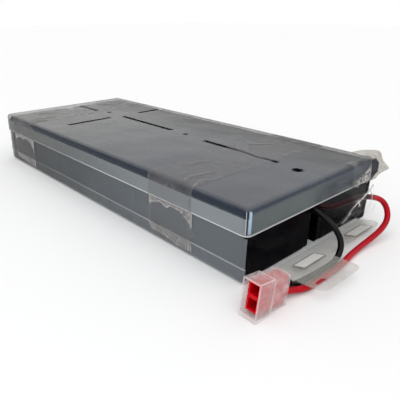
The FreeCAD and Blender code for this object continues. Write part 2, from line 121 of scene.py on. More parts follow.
def splitAxes(graph, spot):
    apart = graph.tree.nodes.new("ShaderNodeSeparateXYZ")
    graph.tree.links.new(spot.socket, apart.inputs[0])
    return [Signal(graph.tree, out) for out in apart.outputs]


def axes(graph):
    return splitAxes(graph, graph.node("ShaderNodeTexCoord", {}, {}, "Object"))


def bump(graph, height, strength, depth):
    return graph.node("ShaderNodeBump", {}, {"Height": height, "Strength": strength, "Distance": depth * mm})


def either(first, second):
    return first.maths("MAXIMUM", first, second)


def lesser(first, second):
    return first.maths("MINIMUM", first, second)


def magnitude(value):
    return value.maths("ABSOLUTE", value)


def band(value, low, high, soft):
    # 1 between two lengths in millimetres, fading over a soft margin
    return value.span(low - soft, low) * (1 - value.span(high, high + soft))


def fade(value, patches, uneven, low, high):
    # change along one axis between two millimetre values, made uneven by cloudy patches
    return (patches * (uneven * mm) + value).span(low, high)


def boxReach(x, y, middleX, middleY, halfX, halfY):
    # metres outside a rectangle given in millimetres, negative inside it
    return either(magnitude(x - middleX * mm) - halfX * mm, magnitude(y - middleY * mm) - halfY * mm)


def roundReach(x, y, middleX, middleY, radius):
    return ((x - middleX * mm) ** 2 + (y - middleY * mm) ** 2) ** 0.5 - radius * mm


def lineReach(x, y, start, end):
    # metres from a straight stretch whose ends are given in millimetres
    runX, runY = (end[0] - start[0]) * mm, (end[1] - start[1]) * mm
    fromX, fromY = x - start[0] * mm, y - start[1] * mm
    share = (fromX * runX + fromY * runY) * (1 / (runX ** 2 + runY ** 2))
    share = either(lesser(share, 1.0), 0.0)
    return ((fromX - share * runX) ** 2 + (fromY - share * runY) ** 2) ** 0.5


def grey(level):
    return (level, level, level, 1)


cameraSettings = {
    "spot": (0.4198, -0.3547, 0.2104), "lens": 39.66, "sensor": 36, "clipStart": 0.02,
    "shiftX": 0.1125, "shiftY": -0.040,
    "right": (0.6425, 0.7663, -0.0051), "up": (-0.2749, 0.2368, 0.9318), "back": (0.7153, -0.5973, 0.3628),
}


def buildCamera(settings):
    lens = bpy.data.cameras.new("camera")
    lens.lens = settings["lens"]
    lens.sensor_width = settings["sensor"]
    lens.shift_x = settings["shiftX"]
    lens.shift_y = settings["shiftY"]
    lens.clip_start = settings["clipStart"]
    holder = bpy.data.objects.new("camera", lens)
    bpy.context.scene.collection.objects.link(holder)
    turn = Matrix([settings["right"], settings["up"], settings["back"]]).transposed().to_4x4()
    holder.matrix_world = Matrix.Translation(settings["spot"]) @ turn
    bpy.context.scene.camera = holder


lightSettings = {
    "worldLevel": 0.80, "sunStrength": 0.85, "sunSpread": 70, "sunFrom": (0.30, -0.22, 1.0),
    "sidePower": 0.85, "sideSize": 0.55, "sideSpot": (0.62, -0.95, 0.50), "sideAim": (0.23, -0.10, 0.05),
    "sideColour": (0.80, 0.90, 1.0),
}
floorSettings = {"size": 14, "colour": 0.93, "roughness": 0.9, "shine": 0.1}


def buildSky(settings):
    # white where seen, mirrored or looked at through clear plastic, and a little dimmer as light
    world = bpy.data.worlds.new("studio")
    bpy.context.scene.world = world
    world.use_nodes = True
    path = world.node_tree.nodes.new("ShaderNodeLightPath")
    seen, through, mirrored = [Signal(world.node_tree, path.outputs[name]) for name in
                               ("Is Camera Ray", "Is Transmission Ray", "Is Glossy Ray")]
    level = either(either(seen, through), mirrored)
    sky = world.node_tree.nodes["Background"]
    sky.inputs["Color"].default_value = (1, 1, 1, 1)
    strength = level.blend(settings["worldLevel"], 1)
    world.node_tree.links.new(strength.socket, sky.inputs["Strength"])


def buildLights(settings):
    sun = bpy.data.lights.new("sun", "SUN")
    sun.energy = settings["sunStrength"]
    sun.angle = math.radians(settings["sunSpread"])
    holder = bpy.data.objects.new("sun", sun)
    bpy.context.scene.collection.objects.link(holder)
    holder.rotation_euler = Vector(settings["sunFrom"]).to_track_quat("Z", "Y").to_euler()
    side = bpy.data.lights.new("sideLight", "AREA")
    side.shape = "DISK"
    side.size = settings["sideSize"]
    side.energy = settings["sidePower"]
    side.color = settings["sideColour"]
    holder = bpy.data.objects.new("sideLight", side)
    bpy.context.scene.collection.objects.link(holder)
    holder.location = settings["sideSpot"]
    away = Vector(settings["sideAim"]) - Vector(settings["sideSpot"])
    holder.rotation_euler = away.to_track_quat("-Z", "Y").to_euler()


def buildFloor(settings):
    bpy.ops.mesh.primitive_plane_add(size=settings["size"], location=(0, 0, 0))
    floor = bpy.context.object
    floor.name = "floor"
    bpy.ops.object.transform_apply(location=True, rotation=True, scale=True)
    paint, shader, graph = newPaint("floorPaper")
    setShader(graph, shader, {"Base Color": grey(settings["colour"]), "Roughness": settings["roughness"],
                              "Specular IOR Level": settings["shine"]})
    floor.data.materials.append(paint)


buildCamera(cameraSettings)
buildSky(lightSettings)
buildLights(lightSettings)
buildFloor(floorSettings)
bpy.context.scene.view_settings.view_transform = "Standard"
print("camera, lights and floor ready")


lidSettings = {
    # density and colour of the haze: top, skirt over the tray, band above it, front face
    "topVeil": 0.70, "topColour": (0.124, 0.134, 0.152, 1), "topRearSheen": (0.210, 0.210, 0.200, 1),
    "topAway": (0.030, 0.031, 0.030, 1),
    "overVeil": 0.62, "overColour": (0.335, 0.37, 0.39, 1), "overRear": (0.135, 0.142, 0.142, 1),
    "bandVeil": 0.40, "bandColour": (0.05, 0.07, 0.105, 1),
    "frontVeil": 0.58, "frontColour": (0.165, 0.195, 0.20, 1), "innerVeil": 0.03, "uneven": 0.12,
    # where they change, in millimetres
    "topFrom": (66.2, 68.6), "frontFrom": (230.0, 231.2), "overTo": (60.0, 60.8), "frontTo": (62.5, 66.5),
    # cloudy changes along the lid and across it: unevenness, start, end; towards the rear the top takes a
    # painted sheen
    "rearFade": (120, 240, -220), "awayFade": (50, 30, 125),
    "overFade": (60, 250, -120), "frontFade": (60, 20, 100),
    # painted highlight along the skirt's lower edge, half as strong towards the rear
    "edge": (44.0, 45.8, 0.35), "edgeFade": (60, -100), "edgeLoss": 0.5, "edgeVeil": 0.85,
    "edgeColour": (0.72, 0.74, 0.74, 1),
    "edgeShare": 0.9, "roughness": 0.154, "streakRoughness": 0.16, "shine": 0.36, "ior": 1.49,
    # heights of the dents, grain and streaks in the relief, then its strength and depth
    "dents": 6.0, "grain": 0.01, "streaks": 0.05, "relief": (0.25, 1.2),
    # outline of the shell, its corner radius, and the depths between which its inner skin begins
    "half": (231.5, 104, 69), "round": 5.5, "skin": (0.65, 0.45),
    "slits": [(-192, 12, 34, 1.8), (-45, 18, 52, 1.8), (98, 12.5, 26, 1.8), (166.5, 10.5, 8.5, 1.8),
              (-104.4, -34.5, 1.8, 33.5), (-103, 76, 1.8, 24)],
    "holes": [(-135, 19, 2.2), (35, 17, 2.0), (202, 5, 4.0)],
    "tear": [(124, 12.5), (137, 12), (150, 8.5), (158, 10.5)], "tearHalf": 0.6,
    # painted shade at the rim of every opening, and the clearer sheet round it
    "rimReach": (0.66, 1.43), "rimShadeColour": (0.004, 0.004, 0.005, 1),
    "clearReach": (1.1, 2.2), "clearShare": 0.7,
}
cornerSettings = {
    # painted reflection down the upright corners, a pale streak, a dark line and a thin pale line, by the
    # distance past the corner's diagonal
    "half": (231.5, 104), "fromX": (226.2, 227.0), "fromY": (98.8, 99.6), "height": (47.5, 66.0, 1.5),
    "farFade": (0, 60), "farLoss": 0.85, "veil": 0.75, "reflectionLineVeil": 0.6, "brush": (0.30, 0.55),
    "pale": (1.1, 4.4, 0.4), "reflectionPaleColour": (0.50, 0.66, 0.85, 1),
    "dark": (-0.9, 0.2, 0.3), "reflectionDarkColour": (0.01, 0.014, 0.025, 1), "line": (-2.2, -1.7, 0.3),
    # the far front corner is dark and dull
    "dullX": (225.0, 227.5), "dullY": (97.5, 100.0), "dullColour": (0.02, 0.024, 0.03, 1), "dullVeil": 0.85,
    "dullRoughness": 0.75,
}


def outerSkin(graph, half, corner, skin):
    # 1 on the outer skin of a shell with rounded corners and 0 on its inner skin
    spot = graph.node("ShaderNodeTexCoord", {}, {}, "Object")
    folded = graph.node("ShaderNodeVectorMath", {"operation": "ABSOLUTE"}, {0: spot})
    beyond = graph.node("ShaderNodeVectorMath", {"operation": "SUBTRACT"},
                        {0: folded, 1: [(value - corner) * mm for value in half]})
    beyond = graph.node("ShaderNodeVectorMath", {"operation": "MAXIMUM"}, {0: beyond, 1: (0, 0, 0)})
    depth = graph.node("ShaderNodeVectorMath", {"operation": "LENGTH"}, {0: beyond}, "Value")
    return depth.span(corner - skin[0], corner - skin[1])


def lidSheetPaint(name, settings, corner):
    # clear sheet: what it scatters changes with what lies against its inner face
    paint, shader, graph = newPaint(name)
    x, y, z = axes(graph)
    patches = cloud(graph, 90, 3.0, 0.5)
    streaks = cloud(graph, 12, 4.0, 0.6, (0.3, 1, 1))
    brushed = cloud(graph, 10, 3.0, 0.6, (4, 4, 0.35))
    grain = cloud(graph, 1.2, 2.0, 0.5)
    dents = cloud(graph, 50, 1.5, 0.4)

    top = z.span(*settings["topFrom"])
    front = x.span(*settings["frontFrom"])
    over = (1 - z.span(*settings["overTo"])) * (1 - front)
    # painted sheen on the top towards the rear
    topColour = fade(x, patches, *settings["rearFade"]).colours(settings["topColour"], settings["topRearSheen"])
    topColour = fade(y, patches, *settings["awayFade"]).colours(topColour, settings["topAway"])
    overColour = fade(x, patches, *settings["overFade"]).colours(settings["overColour"], settings["overRear"])
    frontFade = fade(y, patches, *settings["frontFade"])
    frontColour = frontFade.colours(settings["frontColour"], settings["bandColour"])
    sideColour = over.colours(settings["bandColour"], overColour)
    sideColour = (front * (1 - z.span(*settings["frontTo"]))).colours(sideColour, frontColour)
    colour = top.colours(sideColour, topColour)
    veil = over.blend(settings["bandVeil"], settings["overVeil"])
    veil = front.blend(veil, settings["frontVeil"])
    veil = top.blend(veil, settings["topVeil"])

    cuts = [boxReach(x, y, *slit) for slit in settings["slits"]]
    cuts += [roundReach(x, y, *hole) for hole in settings["holes"]]
    cuts += [lineReach(x, y, start, end) - settings["tearHalf"] * mm
             for start, end in zip(settings["tear"], settings["tear"][1:])]
    cut = cuts[0]
    for reach in cuts[1:]:
        cut = lesser(cut, reach)
    # painted shade round the edges of the slits, holes and tear
    rimShade = (1 - cut.span(*settings["rimReach"])) * top
    cleared = 1 - cut.span(*settings["clearReach"])
    colour = rimShade.colours(colour, settings["rimShadeColour"])
    veil = veil * (1 - cleared * top * settings["clearShare"])
    # painted highlight along the skirt's lower edge
    edge = band(z, *settings["edge"]) * (1 - x.span(*settings["edgeFade"]) * settings["edgeLoss"])

    # only the outer skin carries the haze, so that what touches the inner skin makes no difference
    outer = outerSkin(graph, settings["half"], settings["round"], settings["skin"])
    veil = outer.blend(settings["innerVeil"], veil)

    # painted reflection down the upright corners: a pale streak, a dark line beside it and a thin pale line
    across = magnitude(x) - magnitude(y) - (corner["half"][0] - corner["half"][1]) * mm
    inCorner = magnitude(x).span(*corner["fromX"]) * magnitude(y).span(*corner["fromY"])
    upright = band(z, *corner["height"]) * inCorner * (1 - y.span(*corner["farFade"]) * corner["farLoss"])
    dull = x.span(*corner["dullX"]) * y.span(*corner["dullY"])
    colour = dull.colours(colour, corner["dullColour"])
    veil = (dull * outer).blend(veil, corner["dullVeil"])
    pale = band(across, *corner["pale"]) * brushed.within(*corner["brush"]) * upright
    dark = band(across, *corner["dark"]) * upright
    line = band(across, *corner["line"]) * upright
    colour = dark.colours(pale.colours(colour, corner["reflectionPaleColour"]), corner["reflectionDarkColour"])
    colour = either(line, edge * settings["edgeShare"]).colours(colour, settings["edgeColour"])
    veil = veil + (streaks - 0.5) * settings["uneven"] * outer * (1 - cleared)
    veil = either(veil, either(pale, dark) * corner["veil"] * outer)
    veil = either(veil, either(edge * settings["edgeVeil"], line * corner["reflectionLineVeil"] * outer))
    relief = dents * settings["dents"] + grain * settings["grain"] + streaks * settings["streaks"]
    setShader(graph, shader, {
        "Base Color": colour,
        "Alpha": veil,
        "Roughness": either(streaks.within(0.3, 0.8) * settings["streakRoughness"] + settings["roughness"],
                            dull * corner["dullRoughness"]),
        "IOR": settings["ior"],
        "Specular IOR Level": settings["shine"],
        "Normal": bump(graph, relief, *settings["relief"]),
    })
    return paint


traySettings = {
    "wallVeil": 0.42, "wallColour": (0.215, 0.24, 0.265, 1), "wallRear": (0.080, 0.086, 0.088, 1),
    "footColour": (0.25, 0.275, 0.295, 1), "footRear": (0.13, 0.138, 0.14, 1),
    "rearFade": (100, 220, -160), "uneven": 0.10, "shine": 0.30, "roughness": 0.168, "streakRoughness": 0.16,
    "ior": 1.49, "dents": 4.0, "grain": 0.01, "streaks": 0.05, "relief": (0.25, 1.2),
    # painted highlight along the step line round the walls
    "shelf": (14.6, 15.1), "shelfSoft": 0.4, "shelfHighlightVeil": 0.75, "shelfHighlightShare": 0.85, "shelfLoss": 0.45,
    "edgeColour": (0.60, 0.62, 0.63, 1),
    # lip and its two raised pads
    "lipFrom": (229.6, 231.6), "lipVeil": 0.28, "lipColour": (0.56, 0.55, 0.51, 1),
    "pads": [(248.25, -35.0, 6.25, 17.0), (248.25, 53.0, 6.25, 17.0)], "padInner": (-1.2, -0.8),
    "padVeil": 0.86, "padColour": (0.95, 0.92, 0.875, 1),
    "ring": (-1.1, 0.1, 0.35), "ringVeil": 0.5, "ringShare": 0.75, "ringColour": (0.20, 0.20, 0.20, 1),
    # dark front end of the far wall
    "endX": (195, 222), "endY": (88, 93), "endVeil": 0.92, "endColour": (0.006, 0.006, 0.008, 1),
}


def traySheetPaint(name, settings):
    paint, shader, graph = newPaint(name)
    x, y, z = axes(graph)
    patches = cloud(graph, 60, 3.0, 0.5)
    streaks = cloud(graph, 10, 4.0, 0.6, (0.3, 1, 1))
    grain = cloud(graph, 1.2, 2.0, 0.5)
    dents = cloud(graph, 45, 1.5, 0.4)

    lip = x.span(*settings["lipFrom"])
    rear = fade(x, patches, *settings["rearFade"])
    foot = 1 - z.span(*settings["shelf"])
    wall = foot.colours(rear.colours(settings["wallColour"], settings["wallRear"]),
                        rear.colours(settings["footColour"], settings["footRear"]))
    # painted highlight along the step line
    shelf = band(z, *settings["shelf"], settings["shelfSoft"])
    shelf = shelf * (1 - lip) * (1 - rear * settings["shelfLoss"])
    nearPad, farPad = [boxReach(x, y, *pad) for pad in settings["pads"]]
    reach = lesser(nearPad, farPad)
    inside = (1 - reach.span(*settings["padInner"])) * lip
    ring = band(reach, *settings["ring"]) * lip
    lipColour = inside.colours(settings["lipColour"], settings["padColour"])
    lipColour = (ring * settings["ringShare"]).colours(lipColour, settings["ringColour"])
    farEnd = x.span(*settings["endX"]) * y.span(*settings["endY"]) * (1 - lip)
    colour = (shelf * settings["shelfHighlightShare"]).colours(lip.colours(wall, lipColour), settings["edgeColour"])
    veil = lip.blend(settings["wallVeil"], settings["lipVeil"]) + (streaks - 0.5) * settings["uneven"]
    veil = either(either(veil, shelf * settings["shelfHighlightVeil"]), ring * settings["ringVeil"])
    relief = dents * settings["dents"] + grain * settings["grain"] + streaks * settings["streaks"]
    setShader(graph, shader, {
        "Base Color": farEnd.colours(colour, settings["endColour"]),
        "Alpha": either(veil, either(inside * settings["padVeil"], farEnd * settings["endVeil"])),
        "Roughness": streaks.within(0.3, 0.8) * settings["streakRoughness"] + settings["roughness"],
        "IOR": settings["ior"],
        "Specular IOR Level": settings["shine"],
        "Normal": bump(graph, relief, *settings["relief"]),
    })
    return paint


batterySettings = {
    "colour": (0.0012, 0.0010, 0.0020, 1), "worn": (0.006, 0.0055, 0.007, 1),
    "roughness": 0.18, "shine": 0.02, "scuff": 0.25, "coverLift": 1.3,
    "dullTop": (64.0, 65.5), "topRoughness": 0.9,
}


def batteryPaint(name, settings, lift=1.0):
    # moulded black, scuffed, and dull on the side that faces up
    paint, shader, graph = newPaint(name)
    height = axes(graph)[2]
    dust = cloud(graph, 30, 4.0, 0.6)
    strokes = cloud(graph, 1.6, 4.0, 0.7, (1, 0.35, 1))
    grain = cloud(graph, 0.7, 2.0, 0.5)
    setShader(graph, shader, {
        "Base Color": dust.within(0.45, 0.75).colours(settings["colour"], settings["worn"]),
        "Roughness": either(strokes.within(0.5, 0.8) * settings["scuff"] + settings["roughness"] * lift,
                            height.span(*settings["dullTop"]) * settings["topRoughness"]),
        "IOR": 1.5,
        "Specular IOR Level": settings["shine"],
        "Normal": bump(graph, grain * 0.1 + dust, 0.08, 0.6),
    })
    return paint


def plasticPaint(name, colour, dark, roughness):
    paint, shader, graph = newPaint(name)
    mottle = cloud(graph, 4, 3.0, 0.55)
    grain = cloud(graph, 0.5, 2.0, 0.5)
    setShader(graph, shader, {
        "Base Color": mottle.within(0.3, 0.75).colours(dark, colour),
        "Roughness": mottle * 0.18 + (roughness - 0.09),
        "IOR": 1.49,
        "Specular IOR Level": 0.12,
        "Normal": bump(graph, grain, 0.1, 0.2),
    })
    return paint


def metalPaint(name, colour, dull, roughness):
    paint, shader, graph = newPaint(name)
    streak = cloud(graph, 1.2, 4.0, 0.6, (1, 6, 1))
    stain = cloud(graph, 3, 3.0, 0.6)
    setShader(graph, shader, {
        "Base Color": stain.within(0.4, 0.8).colours(colour, dull),
        "Metallic": 1.0,
        "Roughness": streak * 0.25 + (roughness - 0.1),
        "Normal": bump(graph, streak, 0.15, 0.2),
    })
    return paint


def foamPaint(name, dark, pale, cellsPerMetre):
    paint, shader, graph = newPaint(name)
    cells = graph.node("ShaderNodeTexVoronoi", {"feature": "DISTANCE_TO_EDGE"},
                       {"Vector": place(graph), "Scale": cellsPerMetre})
    setShader(graph, shader, {
        "Base Color": cells.within(0.0, 0.3).colours(dark, pale),
        "Roughness": 0.95,
        "Specular IOR Level": 0.05,
        "Normal": bump(graph, cells, 0.6, 0.6),
    })
    return paint


capSettings = {
    # middle of the connector's mouth and how the connector lies, in millimetres and degrees
    "face": (259.2, -128.2, 17.0), "tilt": -6, "turn": -2,
    "colour": (0.62, 0.44, 0.44, 1), "pale": (0.78, 0.66, 0.65, 1), "whiteningAndHighlight": (0.93, 0.90, 0.89, 1),
    "alpha": 0.29, "hazeAlpha": 0.3, "whiteningAndHighlightAlpha": 0.62, "roughness": 0.28,
    # whitened seam, and painted highlights at the mouth and long edges, along the cap from its face and out
    # from its middle line
    "seam": (12.3, 13.3, 0.4), "mouth": (-3.7, -3.1),
    "tallEdge": (13.2, 14.6), "wideEdge": (6.2, 7.4), "lift": 0.2,
    "crackle": 620.0, "crackleWidth": (0.02, 0.14),
}


def capPaint(name, settings):
    # soft clear plastic, whitened along its seam, with painted highlights along its mouth and long edges
    paint, shader, graph = newPaint(name)
    spot = graph.node("ShaderNodeTexCoord", {}, {}, "Object")
    face = [value * mm for value in settings["face"]]
    turned = (math.radians(settings["tilt"]), 0, math.radians(settings["turn"]))
    own = graph.node("ShaderNodeMapping", {"vector_type": "TEXTURE"},
                     {"Vector": spot, "Location": face, "Rotation": turned})
    x, y, z = splitAxes(graph, own)
    haze = cloud(graph, 6, 4.0, 0.6)
    ripple = cloud(graph, 1.8, 3.0, 0.6, (1, 1, 2))
    warped = graph.node("ShaderNodeMapping", {}, {"Vector": own, "Scale": (1.0, 0.8, 1.0)})
    crackle = graph.node("ShaderNodeTexVoronoi", {"feature": "DISTANCE_TO_EDGE"},
                         {"Vector": warped, "Scale": settings["crackle"], "Randomness": 0.8})
    net = (1 - crackle.within(*settings["crackleWidth"])) * haze.within(0.35, 0.6)
    seam = band(y, *settings["seam"])
    mouth = 1 - y.span(*settings["mouth"])
    tall = magnitude(z - settings["lift"] * mm).span(*settings["tallEdge"])
    wide = magnitude(x).span(*settings["wideEdge"])
    # the seam and crackle are whitened; the mouth and long edges carry painted highlights
    whiteningAndHighlight = either(either(seam * 0.6, mouth * 0.7), either(tall * wide * 0.8, net * 0.5))
    body = haze.within(0.35, 0.7).colours(settings["colour"], settings["pale"])
    thin = settings["alpha"] - settings["hazeAlpha"] / 2
    setShader(graph, shader, {
        "Base Color": whiteningAndHighlight.colours(body, settings["whiteningAndHighlight"]),
        "Alpha": either(haze * settings["hazeAlpha"] + thin, whiteningAndHighlight * settings["whiteningAndHighlightAlpha"]),
        "Roughness": ripple * 0.25 + (settings["roughness"] - 0.12),
        "IOR": 1.45,
        "Normal": bump(graph, ripple, 0.35, 0.6),
    })
    return paint


def wirePaint(name, settings):
    # a lead can be painted dark as shade up to a place along X, where it lies under the lid's skirt
    paint, shader, graph = newPaint(name)
    mottle = cloud(graph, 10, 3.0, 0.5)
    grain = cloud(graph, 0.6, 3.0, 0.6)
    body = mottle.within(0.35, 0.7).colours(settings["dark"], settings["colour"])
    # painted shade along the lead's first stretch
    if "dull" in settings:
        body = axes(graph)[0].span(*settings["brightFrom"]).colours(settings["dull"], body)
    setShader(graph, shader, {
        "Base Color": body,
        "Roughness": grain * 0.16 + (settings["roughness"] - 0.08),
        "IOR": 1.5,
        "Specular IOR Level": 0.14,
        "Normal": bump(graph, grain, 0.12, 0.2),
    })
    return paint


jumperSettings = {"colour": grey(0.010), "dark": grey(0.006), "roughness": 0.4}
paints = {
    # part of a node's name and the paint it gets
    "lid": lidSheetPaint("lidSheet", lidSettings, cornerSettings),
    "tray": traySheetPaint("traySheet", traySettings),
    "_case": batteryPaint("caseBlack", batterySettings),
    "_cover": batteryPaint("coverBlack", batterySettings, batterySettings["coverLift"]),
    "_blade": metalPaint("terminalTin", (0.75, 0.72, 0.66, 1), (0.5, 0.45, 0.36, 1), 0.35),
    "connector_contact": metalPaint("contactSilver", (0.80, 0.78, 0.75, 1), (0.55, 0.5, 0.45, 1), 0.3),
    "positive_receptacle": plasticPaint("redSleeve", (0.50, 0.02, 0.03, 1), (0.32, 0.012, 0.02, 1), 0.4),
    "negative_receptacle": plasticPaint("blackSleeve", grey(0.012), grey(0.006), 0.4),
    "connector_housing": plasticPaint("housingRed", (0.72, 0.0005, 0.008, 1), (0.55, 0.0005, 0.006, 1), 0.32),
    "jumper": wirePaint("jumperBlack", jumperSettings),
    "connector_cap": capPaint("clearCap", capSettings),
    "foam_strip": foamPaint("foamGrey", grey(0.006), grey(0.016), 900.0),
}
for name in nodes:
    for part, paint in paints.items():
        if part in name:
            mesh = nodes[name].data
            mesh.materials.clear()
            mesh.materials.append(paint)
            for face in mesh.polygons:
                face.material_index = 0
print("carried-over pieces painted")


blackLead = {
    "diameter": 5.5, "length": 281, "colour": grey(0.0025), "dark": grey(0.0015), "roughness": 0.16,
    "route": [
        (98, -3.5, 58.5), (128, -3.5, 58.5), (172, -3.4, 54), (207, -3.4, 46), (231.5, -2, 38.4),
        (249.2, -0.1, 28.6), (259, -0.3, 15.2), (261.2, -11.3, 3.3), (261.4, -27.5, 2.9), (260.9, -42.5, 2.95),
        (259.6, -58, 2.9), (258.4, -76, 2.95), (259.5, -87.2, 16), (260.18, -100.19, 20.09),
    ],
}
redLead = {
    "diameter": 5.5, "length": 417, "colour": (0.46, 0.0005, 0.010, 1), "dark": (0.38, 0.0005, 0.008, 1),
    # the dull colour is painted shade, up to where the lead comes out from under the skirt
    "roughness": 0.30, "dull": (0.016, 0.0004, 0.0010, 1), "brightFrom": (250.5, 255.0),
    "route": [
        (98, 3.5, 58.5), (128, 3.5, 58.5), (172, 3.3, 52), (210, 3.2, 42.4), (237.7, 3.6, 41.2),
        (246.8, 28.3, 45.6), (247.8, 51.7, 43.8), (254.5, 74, 37.8), (260, 80.2, 28.5), (264.6, 76.6, 18.2),
        (266.3, 62.5, 12.3), (265, 47, 7.6), (263.8, 30, 4.8), (264.4, 8, 3.3), (266.9, -10, 2.9),
        (268, -30, 2.95), (267.5, -52, 2.9), (268.3, -71, 3.6), (260.39, -94.04, 7.37),
        (260.12, -101.99, 8.21),
    ],
}


def makeLead(name, settings, paint, cadName):
    # one smooth cord along its route, ending at the connector
    line = bpy.data.curves.new(name, "CURVE")
    line.dimensions = "3D"
    spline = line.splines.new("NURBS")
    spline.points.add(len(settings["route"]) - 1)
    for point, spot in zip(spline.points, settings["route"]):
        point.co = (spot[0] * mm, spot[1] * mm, spot[2] * mm, 1)
    spline.order_u = 3
    spline.use_endpoint_u = True
    spline.resolution_u = 12
    line.bevel_depth = settings["diameter"] / 2 * mm
    line.bevel_resolution = 6
    line.use_fill_caps = True
    lead = bpy.data.objects.new(name, line)
    bpy.context.scene.collection.objects.link(lead)
    lead.data.materials.append(paint)
    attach(lead, "root")
    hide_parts(cadName)
    start = [value * mm for value in settings["route"][0]]
    settings["length"] * mm
    settings["diameter"] * mm


makeLead("blackLead", blackLead, wirePaint("leadBlack", blackLead), "black_lead")
makeLead("redLead", redLead, wirePaint("leadRed", redLead), "red_lead")
print("leads laid")


def clearPaint(name, settings):
    # nearly invisible where flat, pale and denser along each crease, painted shade where the crease is below
    # zero
    paint, shader, graph = newPaint(name)
    fold = graph.node("ShaderNodeAttribute", {"attribute_name": "crease"}, {}, "Fac")
    ripple = cloud(graph, 4, 4.0, 0.6)
    fine = cloud(graph, 1.2, 3.0, 0.6)
    mark = either(fold, 0.0) * (ripple.within(0.2, 0.6) * 0.6 + 0.4)
    body = mark.colours(settings["colour"], settings["creaseColour"])
    veil = mark.blend(settings["veil"], settings["creaseVeil"])
    if "shade" in settings:
        # painted shade
        against = (0 - fold).within(0.15, 0.85)
        body = against.colours(body, settings["shade"])
        veil = either(veil, against * settings["shadeVeil"])
    setShader(graph, shader, {
        "Base Color": body,
        "Alpha": veil,
        "Roughness": ripple * 0.2 + (settings["roughness"] - 0.1),
        "IOR": 1.48,
        "Specular IOR Level": 0.3,
        "Normal": bump(graph, ripple + fine * 0.03, 0.2, 0.6),
    })
    return paint


def clamp(value):
    return max(0, min(1, value))


def bell(distance, width):
    return math.exp(-(distance / width) ** 2)


def ridged(spot, scale, seed, power):
    # thin ridges where smooth noise crosses zero
    value = noise.noise(Vector((spot[0] * scale[0], spot[1] * scale[1], seed)))
    return (1 - min(1, abs(value) * 2)) ** power


def nearLine(spot, points, width):
    # 1 on a line of straight stretches and falling away from it
    best = math.inf
    for (ax, ay), (bx, by) in zip(points, points[1:]):
        run = (bx - ax, by - ay)
        share = clamp(((spot[0] - ax) * run[0] + (spot[1] - ay) * run[1]) / (run[0] ** 2 + run[1] ** 2))
        best = min(best, math.hypot(ax + run[0] * share - spot[0], ay + run[1] * share - spot[1]))
    return bell(best, width)


def nearest(spot, lines, width):
    return max(nearLine(spot, line, width) for line in lines)


def sheetMesh(name, settings, spotOf, paint):
    # a plain grid pulled into shape, one vertex at a time, with its creases kept as an attribute
    bpy.ops.object.select_all(action="DESELECT")
    columns, rows = settings["columns"], settings["rows"]
    bpy.ops.mesh.primitive_grid_add(x_subdivisions=columns, y_subdivisions=rows, size=2)
    piece = bpy.context.object
    piece.name = name
    piece.data.name = name
    folds = []
    for vertex in piece.data.vertices:
        spot, fold = spotOf((vertex.co.x + 1) / 2, (vertex.co.y + 1) / 2)
        vertex.co = [value * mm for value in spot]
        folds.append(fold)
    layer = piece.data.attributes.new("crease", "FLOAT", "POINT")
    layer.data.foreach_set("value", folds)
    wall = piece.modifiers.new("wall", "SOLIDIFY")
    wall.thickness = settings["thickness"] * mm
    wall.offset = 0
    bpy.ops.object.modifier_apply(modifier="wall")
    bpy.ops.object.shade_smooth()
    piece.data.materials.append(paint)
    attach(piece, "root")
    return piece


tapeSettings = {
    "colour": (0.25, 0.235, 0.235, 1), "creaseColour": (0.50, 0.49, 0.47, 1),
    "veil": 0.09, "creaseVeil": 0.88, "roughness": 0.24,
    # millimetres; the lid's half width, height and edge radius, then the half widths and heights below it
    "width": 60, "gap": 0.16, "thickness": 0.15, "foot": 4.5,
    "lid": (104.0, 69.0, 5.0), "wall": 102.7, "shelf": 15.0, "lower": 102.2, "skirt": 45.0, "arcSteps": 8,
    "columns": 70, "rows": 340,
    "tapeFront": {"middle": 139, "seed": 3.1}, "tapeRear": {"middle": -176, "seed": 8.4},
    "waver": 0.6, "ragged": 1.3, "sideFrom": (66, 3),
    # creases on the lid's top, across the tape from its middle and along it
    "topCreases": [[(13, -97), (9, -85), (12, -71), (15, -58)], [(29, -100), (23, -88), (24.5, -78)],
                   [(-20, -66), (-12, -40)], [(-24, 40), (-6, 62), (-10, 80)]], "creaseWidth": 0.9,
    # torn lower outline of the two strips where the adhesive shows, and the height of their upper edges
    "upperFoot": [(-30, 35.5), (-22, 38.5), (-15, 40.5), (-5, 37.5), (1, 41), (12, 40.5), (18, 38), (24, 34),
                  (30, 29)],
    "lowerFoot": [(-30, 12), (-27, 8), (-2, 6.5), (8, 4), (14, -6), (30, -6)],
    "upperTop": 45.5, "lowerTop": 15.8, "topFade": 0.8,
    # lines along the tape, each with its place and width, a short wrinkle, and the curl under the lid's edge
    "leftEdge": (-29, 0.8), "rightEdge": (29.2, 0.7), "innerLine": (26.5, 0.6),
    "wrinkle": (17, 0.7), "wrinkleHeight": (53, 6), "curl": (-4, 16), "curlHeight": (62.5, 4),
}


def tapeLine(settings):
    # outline across the shells, from the near foot over the top, and the length up to each point
    half, top, radius = settings["lid"]
    side = [(settings["lower"], settings["foot"]), (settings["lower"], settings["shelf"] - 0.8),
            (settings["wall"], settings["shelf"] + 0.2), (settings["wall"], settings["skirt"] - 1.6),
            (half, settings["skirt"] + 0.4), (half, top - radius)]
    for step in range(1, settings["arcSteps"]):
        angle = step * math.pi / 2 / settings["arcSteps"]
        side.append((half - radius + radius * math.cos(angle), top - radius + radius * math.sin(angle)))
    side.append((half - radius, top))
    line = [(-y, z) for y, z in side] + [(y, z) for y, z in reversed(side)]
    lengths = [0]
    for before, after in zip(line, line[1:]):
        lengths.append(lengths[-1] + math.dist(before, after))
    return line, lengths


